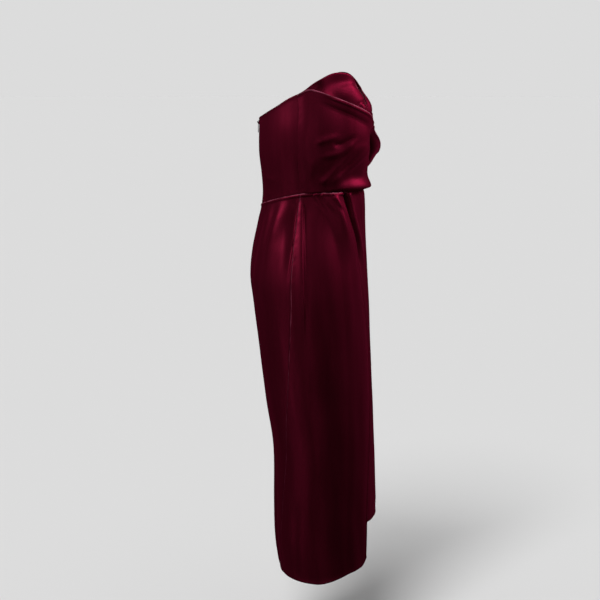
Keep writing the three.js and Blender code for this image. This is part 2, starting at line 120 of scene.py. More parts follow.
def smooth(x):
    share = np.clip(x, 0, 1)
    return share * share * (3 - 2 * share)


def curve(keys, values):
    """A smooth curve through the points, read at any array of keys."""
    order = np.argsort(keys)
    x, y = np.array(keys, float)[order], np.array(values, float)[order]
    before, after = np.r_[0, np.arange(len(x) - 1)], np.r_[np.arange(1, len(x)), len(x) - 1]
    slope = (y[after] - y[before]) / (x[after] - x[before])

    def read(at):
        at = np.clip(np.asarray(at, float), x[0], x[-1])
        i = np.clip(np.searchsorted(x, at) - 1, 0, len(x) - 2)
        width = x[i + 1] - x[i]
        s = (at - x[i]) / width
        start = y[i] * (1 + 2 * s) * (1 - s) ** 2 + slope[i] * width * s * (1 - s) ** 2
        return start + y[i + 1] * (3 - 2 * s) * s * s + slope[i + 1] * width * s * s * (s - 1)

    return read


def columns_of(table):
    return [list(column) for column in zip(*table)]


heights, sides, fronts, backs = columns_of(FIGURE)
side_at, front_at, back_at = curve(heights, sides), curve(heights, fronts), curve(heights, backs)
neckline_at = curve(*columns_of(NECKLINE))


def on_right_half(angle):
    turned = np.mod(angle + 90, 360) - 90
    return np.where(turned > 90, 180 - turned, turned)


def neckline(angle):
    return neckline_at(on_right_half(angle))


def waist(angle):
    fall = (WAIST_FALLS_FROM - on_right_half(angle)) / WAIST_FALLS_OVER
    return mix(WAIST_FRONT, WAIST_BACK, smooth(fall))


def mm_per_degree(height):
    return math.radians(1) * np.sqrt((side_at(height) ** 2 + front_at(height) ** 2) / 2)


def cup_swell(angle, height):
    half = on_right_half(angle)
    tall = np.where(height > CUP_HEIGHT, CUP_ABOVE, CUP_BELOW)
    right, left = (half - CUP_ANGLE) / CUP_SPREAD, (180 - CUP_ANGLE - half) / CUP_SPREAD
    swell = CUP * bell((height - CUP_HEIGHT) / tall) * (bell(right) + bell(left))
    across, down = (angle - HOLLOW_ANGLE) / HOLLOW_SPREAD, (height - HOLLOW_HEIGHT) / HOLLOW_REACH
    swell = swell - HOLLOW * bell(across) * bell(down)
    for at, spread, middle, reach, rise in CUP_GATHERS:
        swell = swell + rise * bell((angle - at) / spread) * bell((height - middle) / reach)
    return swell


def figure_point(angle, height, out):
    """A point at an angle round the figure and a height, out mm off it."""
    turn = np.radians(angle)
    front, back = front_at(height), back_at(height)
    right = side_at(height) * np.cos(turn)
    forward = (front - back) / 2 + (front + back) / 2 * np.sin(turn)
    plan = np.stack([-np.cos(turn) / side_at(height), -np.sin(turn) * 2 / (front + back)])
    plan = plan / np.hypot(*plan) * (cup_swell(angle, height) + out)
    return np.stack([-right + plan[0], -forward + plan[1], height], axis=-1)


def fold_lift(folds, angle, height):
    """How far the listed folds lift the cloth, each along its line of (angle, height) points."""
    lift = np.zeros(angle.shape)
    per_degree = mm_per_degree(height)
    for line, wide_left, wide_right, rise, (fade_in, fade_out) in folds:
        keys = np.linspace(0, 1, len(line))
        fine = np.linspace(0, 1, FINE_STEPS * len(line))
        at_angle, at_height = (curve(keys, column)(fine) for column in columns_of(line))
        nearest = np.full(angle.shape, np.inf)
        away, along = np.zeros(angle.shape), np.zeros(angle.shape)
        for i in range(len(fine) - 1):
            run = (at_angle[i + 1] - at_angle[i]) * per_degree
            climb = at_height[i + 1] - at_height[i]
            x, y = (angle - at_angle[i]) * per_degree, height - at_height[i]
            share = np.clip((x * run + y * climb) / (run * run + climb * climb), 0, 1)
            distance = np.hypot(x - share * run, y - share * climb)
            closer = distance < nearest
            side = np.sign(x * climb - y * run)
            away = np.where(closer, distance * side, away)
            along = np.where(closer, mix(fine[i], fine[i + 1], share), along)
            nearest = np.where(closer, distance, nearest)
        width = np.where(away < 0, wide_left, wide_right)
        fade = smooth(along / fade_in) * smooth((1 - along) / fade_out)
        lift = lift + rise * fade * bell(away / width)
    return lift


WAVES = (  # turn of a wave for a degree and for a mm, and its shift
    (0.17, 0.021, 0.3), (-0.11, 0.033, 1.9), (0.29, -0.012, 4.1), (0.07, 0.054, 2.6),
    (0.41, 0.017, 5.2),
)


def unevenness(angle, height, size):
    """The slight unevenness that all hanging cloth has, about size high."""
    total = sum(np.sin(a * angle + h * height + shift) for a, h, shift in WAVES)
    return size * total / 3


def new_finish(name, settings):
    """A new material whose shader has these fixed settings, with its node tree and shader."""
    material = bpy.data.materials.new(name)
    material.use_nodes = True
    shader = material.node_tree.nodes["Principled BSDF"]
    for socket, value in settings.items():
        shader.inputs[socket].default_value = value
    return material, material.node_tree, shader


def add_node(tree, kind, settings):
    node = tree.nodes.new(kind)
    for socket, value in settings.items():
        node.inputs[socket].default_value = value
    return node


def noise(tree, settings, stretch=None):
    """Uneven patches that stay in place on the piece."""
    place = tree.nodes.new("ShaderNodeTexCoord").outputs["Object"]
    if stretch:
        stretched = add_node(tree, "ShaderNodeMapping", {"Scale": stretch})
        tree.links.new(place, stretched.inputs["Vector"])
        place = stretched.outputs["Vector"]
    patches = add_node(tree, "ShaderNodeTexNoise", settings)
    tree.links.new(place, patches.inputs["Vector"])
    return patches.outputs["Fac"]


def level_threads(tree, settings):
    """Threads that lie round the body, one above the other."""
    threads = add_node(tree, "ShaderNodeTexWave", settings)
    threads.bands_direction = "Z"
    place = tree.nodes.new("ShaderNodeTexCoord")
    tree.links.new(place.outputs["Object"], threads.inputs["Vector"])
    return threads.outputs["Fac"]


def colour_by(tree, shader, pattern, low, high, low_at=0.0, high_at=1.0):
    ramp = tree.nodes.new("ShaderNodeValToRGB")
    for stop, position, colour in zip(ramp.color_ramp.elements, (low_at, high_at), (low, high)):
        stop.position = position
        stop.color = (*colour, 1)
    tree.links.new(pattern, ramp.inputs["Fac"])
    tree.links.new(ramp.outputs["Color"], shader.inputs["Base Color"])


def roughness_by(tree, shader, pattern, low, high):
    spread = add_node(tree, "ShaderNodeMapRange", {"To Min": low, "To Max": high})
    tree.links.new(pattern, spread.inputs["Value"])
    tree.links.new(spread.outputs["Result"], shader.inputs["Roughness"])


def relief_by(tree, shader, pattern, strength, metres):
    bump = add_node(tree, "ShaderNodeBump", {"Strength": strength, "Distance": metres})
    tree.links.new(pattern, bump.inputs["Height"])
    tree.links.new(bump.outputs["Normal"], shader.inputs["Normal"])


def velvet_finish(name, shade):
    """Short dense pile: dark seen straight on, bright where it is seen along the pile."""
    material, tree, shader = new_finish(name, {
        "Metallic": 0.7, "Specular IOR Level": 0.02, "Specular Tint": (0.9, 0.10, 0.25, 1),
        "Sheen Weight": 0.12 * shade, "Sheen Roughness": 0.5, "Sheen Tint": (0.95, 0.035, 0.16, 1),
    })
    nap = noise(tree, {"Scale": 1.0, "Detail": 5.0, "Roughness": 0.55}, stretch=(16, 16, 1.6))
    pile = noise(tree, {"Scale": 900.0, "Detail": 2.0})
    low = [channel * shade for channel in (0.052, 0.0021, 0.0078)]
    high = [channel * shade for channel in (0.102, 0.0048, 0.0166)]
    colour_by(tree, shader, nap, low, high, low_at=0.3, high_at=0.72)
    roughness_by(tree, shader, nap, 0.53, 0.43)
    relief_by(tree, shader, pile, 0.25, 0.0004)
    return material


def woven_back_finish(name):
    """The woven back of the cloth, with no pile."""
    material, tree, shader = new_finish(name, {"Specular IOR Level": 0.25})
    yarn = noise(tree, {"Scale": 260.0})
    threads = level_threads(tree, {"Scale": 320.0, "Distortion": 0.6})
    colour_by(tree, shader, yarn, (0.050, 0.004, 0.010), (0.085, 0.008, 0.018))
    roughness_by(tree, shader, yarn, 0.72, 0.88)
    relief_by(tree, shader, threads, 0.3, 0.0002)
    return material


def pale_fold_and_highlight_finish(name):
    """A broken pale line along sharp folds and seam edges: partly the paler base where the pile
    opens, partly a painted highlight for the light these edges catch.
    """
    material, tree, shader = new_finish(name, {"Specular IOR Level": 0.1})
    line_breaks = noise(tree, {"Scale": 55.0, "Detail": 4.0})
    pile_base_and_highlight = (0.060, 0.004, 0.013), (0.250, 0.048, 0.088)
    colour_by(tree, shader, line_breaks, *pile_base_and_highlight, low_at=0.35, high_at=0.62)
    roughness_by(tree, shader, line_breaks, 0.6, 0.8)
    return material


velvet = velvet_finish("velvet", 1.0)
# The turned-in pile inside the top edges and the drape's loop, painted near black (0.06 of the
# velvet's colour and sheen) as painted shade for the shadow inside the roll.
velvet_turned_in_painted_shade = velvet_finish("velvet_turned_in_painted_shade", 0.06)
velvet_back = woven_back_finish("velvet_back")
# A pale line, partly pile wear at the fold and partly a painted highlight on the edge.
velvet_fold_wear_and_highlight = pale_fold_and_highlight_finish("velvet_fold_wear_and_highlight")
VELVET_SIDES = (velvet, velvet_back, velvet_fold_wear_and_highlight, velvet_turned_in_painted_shade)
PILE, WOVEN_BACK, WORN_FOLD_AND_HIGHLIGHT, TURNED_IN_PAINTED_SHADE = range(4)  # the place of each in VELVET_SIDES

CLOSE_STEPS = [0.8, 1.8, 3.0, 4.6]  # mm from an edge
DIP_WIDE = 2.1  # of the dip down to a seam
RIDGE_AT, RIDGE_WIDE = 3.4, 2.6  # of the ridge beside a seam that stands up
PUCKERS = ((0.22, 3.1, 0), (0.2, 5.3, 1))  # height of a wave along a seam, length / 2 pi, shift
PUCKER_AT, PUCKER_WIDE, LEAST_PUCKER = 4, 4, 0.3
SEWN_RIM = 0.15  # how round the rim of a sewn edge is, where that of a free edge is 1
RIM_TURNS = (0.25 * math.pi, 0.5 * math.pi, 0.75 * math.pi)


def shares(count, length, crowd=1.0):
    """Shares from 0 to 1, with closer ones within a few mm of both ends of the length."""
    even = np.linspace(0, 1, count + 1)
    close = np.array(CLOSE_STEPS) / length
    return np.unique(np.r_[even ** crowd, close, 1 - close])


def lengths_along(points, axis):
    """Distance along the cloth from its first edge, for each point of a grid."""
    steps = np.linalg.norm(np.diff(points, axis=axis), axis=-1)
    start = np.zeros_like(np.take(steps, [0], axis=axis))
    return np.cumsum(np.concatenate([start, steps], axis=axis), axis=axis)


def measure_edges(points):
    """How far each point is from each of the four edges, and how far along that edge."""
    by_column, by_row = lengths_along(points, 1), lengths_along(points, 0)
    distance = {
        "start": by_column, "end": by_column[:, -1:] - by_column,
        "top": by_row, "foot": by_row[-1:] - by_row,
    }
    along = {"start": by_row, "end": by_row, "top": by_column, "foot": by_column}
    return distance, along


def sewn_down(out, seams, distance, along):
    """The cloth's distance out with its dips and ridges along the seams, and their puckers."""
    for edge, dip in seams:
        off = distance[edge]
        pucker = sum(high * np.sin(along[edge] / length + turn) for high, length, turn in PUCKERS)
        shape = bell(off / DIP_WIDE) if dip > 0 else bell((off - RIDGE_AT) / RIDGE_WIDE)
        puckered = max(dip, LEAST_PUCKER) * pucker * bell((off - PUCKER_AT) / PUCKER_WIDE)
        out = out - dip * shape + puckered
    return out


def cloth_normals(points, angle):
    normal = np.cross(np.gradient(points, axis=1), np.gradient(points, axis=0))
    normal /= np.maximum(np.linalg.norm(normal, axis=-1, keepdims=True), 1e-9)
    turn = np.radians(angle)
    outwards = np.stack([-np.cos(turn), -np.sin(turn), np.zeros_like(turn)], axis=-1)
    facing = np.sign(np.mean(np.sum(normal * outwards, axis=-1)))
    return normal * facing


def rim_edges(rows, columns):
    """The name of the edge that each step round the rim of a grid is on."""
    steps = [columns - 1, rows - 1, columns - 1, rows - 1]
    return np.repeat(["top", "end", "foot", "start"], steps)


def closed_wall(inner, outer, normal, round_rim):
    """Points and faces of a wall between two grids, with a rim that is rounded at free edges."""
    rows, columns = inner.shape[:2]
    total = rows * columns
    index = np.arange(total).reshape(rows, columns)
    loop = np.r_[index[0, :-1], index[:-1, -1], index[-1, :0:-1], index[:0:-1, 0]]
    inner, outer, normal = (grid.reshape(-1, 3) for grid in (inner, outer, normal))
    middle = (inner[loop] + outer[loop]) / 2
    half = outer[loop] - middle
    beyond = np.cross(np.roll(middle, -1, 0) - np.roll(middle, 1, 0), normal[loop])
    beyond /= np.maximum(np.linalg.norm(beyond, axis=1, keepdims=True), 1e-9)
    if np.sum((middle - inner.mean(0)) * beyond) < 0:
        beyond = -beyond
    roundness = np.where(round_rim, 1.0, SEWN_RIM)[:, None]
    beyond = beyond * np.linalg.norm(half, axis=1, keepdims=True) * roundness
    arcs = [middle + half * math.cos(turn) + beyond * math.sin(turn) for turn in RIM_TURNS]
    points = np.concatenate([outer, inner, *arcs]) * MM
    corners = [index[:-1, :-1], index[:-1, 1:], index[1:, 1:], index[1:, :-1]]
    quads = np.stack(corners, axis=-1).reshape(-1, 4)
    ring = 2 * total + np.arange(len(loop))
    rings = [loop, *(ring + turn * len(loop) for turn in range(len(RIM_TURNS))), loop + total]
    rim = [
        np.stack([np.roll(a, -1), a, b, np.roll(b, -1)], axis=-1) for a, b in zip(rings, rings[1:])
    ]
    faces = np.concatenate([quads, quads[:, ::-1] + total, *rim])
    first, second, third = (points[faces[:, corner]] for corner in (0, 1, 2))
    if np.sum(first * np.cross(second, third)) < 0:
        faces = faces[:, ::-1]
    return points, faces


def side_of_faces(distance, rim_edge, turned, worn_and_highlit):
    """The side of the cloth that each face shows: outer ones, then inner ones, then the rim."""
    # Inner faces within turned mm of the top edge show the turned-in pile, painted near black as
    # painted shade.
    inner = np.where(distance["top"][:-1, :-1].ravel() < turned, TURNED_IN_PAINTED_SHADE, WOVEN_BACK)
    outer = np.full(len(inner), PILE)
    rim = np.full((len(RIM_TURNS) + 1) * len(rim_edge), PILE)
    # Along the listed edges the outer faces and the rim get the pale line: partly pile wear, partly
    # painted highlight.
    for edge, width in worn_and_highlit:
        from_edge = np.minimum(distance[edge][:-1, :-1], distance[edge][1:, 1:]).ravel()
        outer[from_edge < width] = WORN_FOLD_AND_HIGHLIGHT
        rim[np.tile(rim_edge == edge, len(RIM_TURNS) + 1)] = WORN_FOLD_AND_HIGHLIGHT
    return np.concatenate([outer, inner, rim]).astype(np.int32)


def cloth_piece(
    name, across, down, place, seams=(), folded=(), turned=0, worn_and_highlit=(), finishes=VELVET_SIDES
):
    """A thin closed wall of cloth. place(across, down) gives the angle, the height and the distance
    out. seams are (sewn edge, how deep it dips, or how far the cloth beside it rises where that is
    below 0). folded are (edge, extra thickness, reach). The pile is turned in over the top edge for
    the length turned, and its inner side there is painted near black as painted shade. The last
    argument lists (edge, width) where a broken pale line is painted: partly the pile's paler base
    at a sharp fold, partly a painted highlight for the light the edge catches."""
    angle, height, out = place(*np.meshgrid(across, down))
    distance, along = measure_edges(figure_point(angle, height, out))
    inner = figure_point(angle, height, sewn_down(out, seams, distance, along))
    thick = np.full(angle.shape, CLOTH)
    for edge, extra, reach in folded:
        thick = thick + extra * bell(distance[edge] / reach)
    normal = cloth_normals(inner, angle)
    rim_edge = rim_edges(*angle.shape)
    round_rim = ~np.isin(rim_edge, [edge for edge, dip in seams])
    points, faces = closed_wall(inner, inner + normal * thick[..., None], normal, round_rim)
    mesh = bpy.data.meshes.new(name)
    mesh.from_pydata(points.tolist(), [], faces.tolist())
    mesh.polygons.foreach_set("use_smooth", np.ones(len(faces), bool))
    sides_shown = side_of_faces(distance, rim_edge, turned, worn_and_highlit)
    mesh.polygons.foreach_set("material_index", np.minimum(sides_shown, len(finishes) - 1))
    mesh.update()
    for finish in finishes:
        mesh.materials.append(finish)
    piece = bpy.data.objects.new(name, mesh)
    bpy.context.scene.collection.objects.link(piece)
    return piece


def between_seams(start, end, share):
    gap = math.copysign(SEAM_GAP / 2 / mm_per_degree(0), end - start)
    return mix(start + gap, end - gap, share)


def bodice_wall(start, end, folds, sunk=0):
    def place(across, down):
        angle = between_seams(start, end, across)
        height = mix(neckline(angle), waist(angle) + SEAM_GAP / 2, down)
        lift = fold_lift(folds, angle, height)
        lift = lift - sunk * bell((on_right_half(angle) - SIDE_SEAM) / SUNK_SPREAD)
        return angle, height, lift + unevenness(angle, height, size=0.35)
    return place


for name, start, folds in (
    ("bodice_front_right", SIDE_SEAM, CUP_FOLDS),
    ("bodice_front_left", LEFT_SIDE_SEAM, []),
):
    # The inner side near the neckline is painted near black as painted shade.
    piece = cloth_piece(
        name + "_velvet",
        across=1 - shares(104, length=245, crowd=1.45)[::-1], down=shares(100, length=250),
        place=bodice_wall(start, CENTRE_FRONT, folds, SUNK),
        seams=[("start", 0.3), ("end", 0.5), ("foot", 0.8)], folded=[("top", 0.9, 4)], turned=18,
    )
    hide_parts(name)
    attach(piece, "dress")

# ---- bodice foundation, backs ----
# One panel on each side of the centre back, in the same backed velvet and joined by the concealed
# zip. They lie smooth over the ribs, with two slight creases above the waist.
BACK_CREASES = [
    ([(-70, 60), (-52, 44), (-30, 40)], 6, 7, 1.6, (0.4, 0.5)),
    ([(-74, 16), (-56, 8), (-38, 10)], 5, 5, 1.2, (0.4, 0.5)),
]
mirrored_creases = [([(180 - a, h) for a, h in line], *rest) for line, *rest in BACK_CREASES]
for name, start, end, creases in (
    ("bodice_back_right", CENTRE_BACK, SIDE_SEAM, BACK_CREASES),
    ("bodice_back_left", CENTRE_BACK + 360, LEFT_SIDE_SEAM, mirrored_creases),
):
    # The inner side near the neckline is painted near black as painted shade.
    piece = cloth_piece(
        name + "_velvet", across=shares(52, length=185), down=shares(60, length=215),
        place=bodice_wall(start, end, creases),
        seams=[("start", 0.6), ("end", 0.15), ("foot", 1.4)], folded=[("top", 0.9, 4)], turned=18,
    )
    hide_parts(name)
    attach(piece, "dress")

# ---- right drape ----
# A wide piece of velvet folded under along its upper edge, sewn in at both side seams and at the
# waist seam. It crosses the front over the left drape and stands off the left cup as a rolled loop.
DRAPE_END = 176  # angle at which it meets the left side seam
DRAPE_EDGE = [  # angle and height of the fold
    (-7, 229), (6, 240), (16, 236), (27, 226), (45, 209), (60, 191), (74, 171), (90, 148),
    (102, 126), (112, 108), (122, 92), (134, 76), (150, 60), (176, 44),
]
LOOP = [  # angle, how far the fold stands off, how deep its roll reaches
    (-7, 0, 20), (16, 1, 20), (45, 1.5, 20), (60, 1, 20), (72, 0, 14), (80, 5, 12), (86, 14, 13),
    (92, 19, 15), (98, 19.5, 18), (104, 18.5, 24), (110, 19, 31), (116, 24.5, 36), (121, 31, 38),
    (126, 34.5, 40), (130, 35, 40), (135, 30, 36), (142, 17, 30), (150, 3, 24), (176, 0, 20),
]
LOOP_ROUNDNESS = 0.55
DRAPE_FOLDS = [
    ([(15, 34), (22, 44), (32, 64), (42, 86), (49, 108), (53, 126)], 7, 9, 4.0, (0.25, 0.4)),
    ([(24, 26), (32, 42), (42, 58), (52, 76), (61, 98), (68, 118)], 7, 10, 4.4, (0.3, 0.4)),
    ([(14, 98), (24, 97), (34, 101), (42, 110), (48, 126), (54, 140)], 8, 7, 3.8, (0.4, 0.3)),
    ([(10, 128), (18, 130), (28, 136), (38, 144)], 8, 7, 3.0, (0.4, 0.4)),
    ([(28, 126), (36, 122), (44, 128), (52, 144)], 6, 7, -3.2, (0.35, 0.3)),
    ([(52, 50), (62, 62), (74, 76), (86, 84)], 8, 9, 2.2, (0.4, 0.4)),
    ([(4, 40), (8, 70), (10, 100)], 10, 10, 1.2, (0.4, 0.4)),
    ([(96, 96), (110, 78), (128, 62), (148, 46)], 9, 9, 3.0, (0.4, 0.4)),
    ([(100, 70), (124, 52), (148, 40), (168, 32)], 8, 8, 2.6, (0.4, 0.4)),
]
SWELL, SWELL_ANGLE, SWELL_SPREAD = 12, 74, 31  # how far the drape stands off in front, and where
SWELL_LOST, LOST_FROM, LOST_OVER = 0.95, 68, 64  # the share of it lost further up
BLOUSE, BLOUSE_ANGLE, BLOUSE_SPREAD = 7.5, 62, 46  # the roll over the waist seam, and where
BLOUSE_FROM, BLOUSE_OVER = 16, 30  # the angle it starts at, and how soon it is full
CREST_SIDE, CREST_FRONT = 5, 10  # height of the roll's crest above the waist seam
CREST_FROM, CREST_OVER = 20, 34
ABOVE_CREST, BELOW_CREST = 15, 8  # the reach of the roll
BEAD, BEAD_DOWN, BEAD_WIDE = 1.4, 3, 3  # the thick fold at the upper edge
EDGE_LIFT, EDGE_LIFT_DEEP = 5.5, 27  # how far the edge stands off the right cup
EDGE_FREE_FROM, EDGE_FREE_OVER = 2, 34  # angles between which the edge comes free
EDGE_HELD_FROM, EDGE_HELD_OVER = 94, 22  # and is held again
FLUSH_OVER = 7  # degrees in which the drape sinks into the side seam
OVER_LEFT_FROM, OVER_LEFT_OVER = 52, 16  # angles between which it climbs onto the left drape
FREE_ABOVE_WAIST = 8
loop_angles, loop_offs, loop_depths = columns_of(LOOP)
drape_edge_at = curve(*columns_of(DRAPE_EDGE))
stand_off_at, roll_depth_at = curve(loop_angles, loop_offs), curve(loop_angles, loop_depths)


def right_drape(across, down):
    angle = between_seams(SIDE_SEAM, DRAPE_END, across)
    edge = drape_edge_at(angle)
    height = mix(edge, waist(angle) + SEAM_GAP / 2, down)
    above, below = height - waist(angle), edge - height
    swell = SWELL * bell((angle - SWELL_ANGLE) / SWELL_SPREAD)
    swell = swell * (1 - SWELL_LOST * smooth((height - LOST_FROM) / LOST_OVER))
    crest = mix(CREST_SIDE, CREST_FRONT, smooth((angle - CREST_FROM) / CREST_OVER))
    reach = np.where(above > crest, ABOVE_CREST, BELOW_CREST)
    roll = BLOUSE * smooth((angle - BLOUSE_FROM) / BLOUSE_OVER)
    roll = roll * bell((angle - BLOUSE_ANGLE) / BLOUSE_SPREAD) * bell((above - crest) / reach)
    into_loop = np.clip(below / roll_depth_at(angle), 0, 1)
    loop = stand_off_at(angle) * (1 - into_loop * into_loop) ** LOOP_ROUNDNESS
    free = smooth((angle - EDGE_FREE_FROM) / EDGE_FREE_OVER)
    free = free * smooth((EDGE_HELD_FROM - angle) / EDGE_HELD_OVER)
    bead = BEAD * bell((below - BEAD_DOWN) / BEAD_WIDE)
    edge_fold = free * (bead + EDGE_LIFT * (1 - smooth((below - BEAD_DOWN) / EDGE_LIFT_DEEP)))
    loose = swell + roll + fold_lift(DRAPE_FOLDS, angle, height) + loop + edge_fold
    flush = 1 - bell((angle - SIDE_SEAM) / FLUSH_OVER)
    layers = LAYER * (flush + smooth((angle - OVER_LEFT_FROM) / OVER_LEFT_OVER))
    out = layers + smooth(above / FREE_ABOVE_WAIST) * loose
    return angle, height, out + unevenness(angle, height, size=0.5)


# Its inner side near the upper edge, inside the roll and loop, is painted near black as painted
# shade, and a pale line is painted along the fold: partly pile wear, partly painted highlight.
piece = cloth_piece(
    "bodice_drape_right_velvet", across=shares(236, length=440), down=shares(140, length=190),
    place=right_drape, seams=[("start", 0.15), ("end", 0.2), ("foot", 0.8)],
    folded=[("top", 2.2, 3.5)], turned=60, worn_and_highlit=[("top", 1.0)],
)
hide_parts("bodice_drape_right")
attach(piece, "dress")

# ---- left drape ----
# The mirror of the right drape, in the same velvet, cut off where the right one covers it. So it
# lies flatter on its cup.
LEFT_DRAPE_START = 72
BELOW_NECKLINE = 8
COVERED_TO, UNCOVERED_OVER = 96, 10  # angle up to which it lies flat under the right drape
LEFT_FREE_ABOVE_WAIST = 20
LEFT_DRAPE_FOLDS = [
    ([(100, 150), (124, 140), (148, 132), (172, 124)], 9, 8, 1.8, (0.3, 0.3)),
    ([(112, 190), (134, 178), (156, 170), (178, 168)], 9, 8, 1.4, (0.3, 0.3)),
    ([(140, 100), (156, 92), (176, 82)], 8, 7, 1.6, (0.3, 0.4)),
]


def left_drape(across, down):
    angle = between_seams(LEFT_DRAPE_START, LEFT_SIDE_SEAM, across)
    edge = np.minimum(drape_edge_at(180 - angle), neckline(angle) - BELOW_NECKLINE)
    height = mix(edge, waist(angle) + SEAM_GAP / 2, down)
    lift = fold_lift(LEFT_DRAPE_FOLDS, angle, height)
    lift = lift * smooth((angle - COVERED_TO) / UNCOVERED_OVER)
    lift = lift * smooth((height - waist(angle)) / LEFT_FREE_ABOVE_WAIST)
    return angle, height, LAYER + lift + unevenness(angle, height, size=0.25)


# Its inner side near the upper edge is painted near black as painted shade.
piece = cloth_piece(
    "bodice_drape_left_velvet", across=shares(100, length=280), down=shares(72, length=170),
    place=left_drape, seams=[("end", 0.3), ("foot", 0.4)], folded=[("top", 1.6, 4)], turned=40,
)
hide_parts("bodice_drape_left")
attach(piece, "dress")

# ---- skirt backs ----
# Two velvet panels from the waist seam to the turned hem, sewn to each other at the centre back and
# to the fronts at the side seams, which swing back towards the hem.
HEM = -880.0
SKIRT_SEAM = [  # height and angle of the side seam
    (20, -7.5), (-33, -9.3), (-90, -9.7), (-150, -9.6), (-240, -12), (-430, -25), (-560, -38),
    (-705, -49), (-880, -61),
]
BACK_FOLDS = [
    ([(-62, -22), (-63, -90), (-65, -180), (-67, -260)], 14, 12, -2.6, (0.15, 0.6)),
    ([(-29, 12), (-31, -35), (-34, -68), (-38, -110), (-46, -220)], 20, 13, 8.0, (0.3, 0.6)),
    ([(-12, 12), (-12.5, -50), (-12, -110), (-15.5, -230)], 4.5, 14, -9.0, (0.25, 0.55)),
    ([(-46, 6), (-48, -60), (-52, -150)], 12, 12, 3.4, (0.4, 0.6)),
    ([(-76, -22), (-78, -120), (-80, -300)], 14, 14, 2.2, (0.2, 0.6)),
    ([(-80, -480), (-78, -700), (-76, -880)], 16, 18, 2.4, (0.6, 0.05)),
    ([(-67, -560), (-67, -720), (-68, -880)], 12, 12, -2.4, (0.6, 0.05)),
]
skirt_seam_at = curve(*columns_of(SKIRT_SEAM))


def skirt_height(angle, foot, down):
    return mix(waist(angle) - SEAM_GAP / 2, foot, down)


def skirt_back(mirrored):
    def place(across, down):
        height = skirt_height(mix(CENTRE_BACK, SIDE_SEAM, across), HEM, down)
        gap = SEAM_GAP / 2 / mm_per_degree(height)
        angle = mix(CENTRE_BACK + gap, skirt_seam_at(height) - gap, across)
        out = fold_lift(BACK_FOLDS, angle, height) + unevenness(angle, height, size=0.45)
        return (180 - angle if mirrored else angle), height, out
    return place


for name, mirrored in (("skirt_back_right", False), ("skirt_back_left", True)):
    # A pale line is painted along the top edge at the waist seam: partly pile wear, partly painted
    # highlight.
    piece = cloth_piece(
        name + "_velvet",
        across=shares(78, length=220), down=shares(216, length=880, crowd=1.25),
        place=skirt_back(mirrored), seams=[("start", 0.8), ("end", 0.3), ("top", -1.7)],
        folded=[("foot", 0.9, 5)], worn_and_highlit=[("top", 1.4)],
    )
    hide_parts(name)
    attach(piece, "dress")

# ---- left skirt front ----
# The under wrap, in velvet. Its free edge lies under the right front, and it is cut shorter across
# the front. Its fullness is laid in tucks at the waist seam.
UNDERLAP_EDGE = [(20, 114), (-240, 108), (-880, 114)]  # height, distance right of the middle
UNDERLAP_START = 30  # its angle at the waist
SHORT_HEM = -752  # height of the hem across the front
FOOT_START, FOOT_END = 54, 226  # angles of the hem's ends
HEM_FALLS_FROM, HEM_FALLS_OVER = 112, 102
LEFT_TUCKS = [
    (
        [(44, 14), (47, -10), (52, -41), (58, -71), (64, -105), (68, -145), (72, -190)],
        5, 9, -12.0, (0.05, 0.45),
    ),
    (
        [(49, 13), (52, -10), (57, -41), (63, -71), (69, -105), (73, -145), (78, -190)],
        9, 4, 5.5, (0.04, 0.5),
    ),
    ([(72, 12), (76, -34), (84, -110)], 7, 5, 2.6, (0.05, 0.6)),
    ([(96, 12), (96, -40), (97, -140)], 7, 8, 3.0, (0.05, 0.6)),
    ([(122, 13), (118, -60), (113, -140), (108, -240)], 6, 12, 4.0, (0.02, 0.7)),
    ([(133, 13), (130, -60), (127, -130), (124, -210)], 6, 11, 3.8, (0.02, 0.7)),
    ([(153, 13), (152, -30), (150, -78)], 4, 6, 2.2, (0.02, 0.8)),
    ([(184, 12), (183, -100), (181, -200), (179, -320)], 8, 6, 5.0, (0.02, 0.6)),
    ([(100, -420), (99, -580), (98, -752)], 16, 18, 1.8, (0.5, 0.1)),
    ([(150, -480), (152, -660), (155, -860)], 18, 20, 2.4, (0.5, 0.1)),
    ([(176, -520), (181, -700), (186, -870)], 14, 16, -2.0, (0.5, 0.1)),
]
underlap_edge_at = curve(*columns_of(UNDERLAP_EDGE))


def angle_of_right(right, height):
    """The angle of a point that is so far to the right of the middle."""
    return np.degrees(np.arccos(right / side_at(height)))


def left_skirt_front(across, down):
    along_foot = mix(FOOT_START, FOOT_END, across)
    foot = mix(SHORT_HEM, HEM, smooth((along_foot - HEM_FALLS_FROM) / HEM_FALLS_OVER))
    height = skirt_height(mix(UNDERLAP_START, LEFT_SIDE_SEAM, across), foot, down)
    start = angle_of_right(underlap_edge_at(height), height)
    end = 180 - skirt_seam_at(height) - SEAM_GAP / mm_per_degree(height) / 2
    angle = mix(start, end, across)
    out = fold_lift(LEFT_TUCKS, angle, height) + unevenness(angle, height, size=0.4)
    return angle, height, out


# A pale line is painted along the top edge at the waist seam: partly pile wear, partly painted
# highlight.
piece = cloth_piece(
    "skirt_front_left_velvet",
    across=shares(176, length=420, crowd=1.6), down=shares(220, length=860, crowd=1.25),
    place=left_skirt_front, seams=[("end", 0.7), ("top", -1.7)],
    folded=[("foot", 0.9, 5), ("start", 0.6, 4)], worn_and_highlit=[("top", 1.4)],
)
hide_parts("skirt_front_left")
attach(piece, "dress")

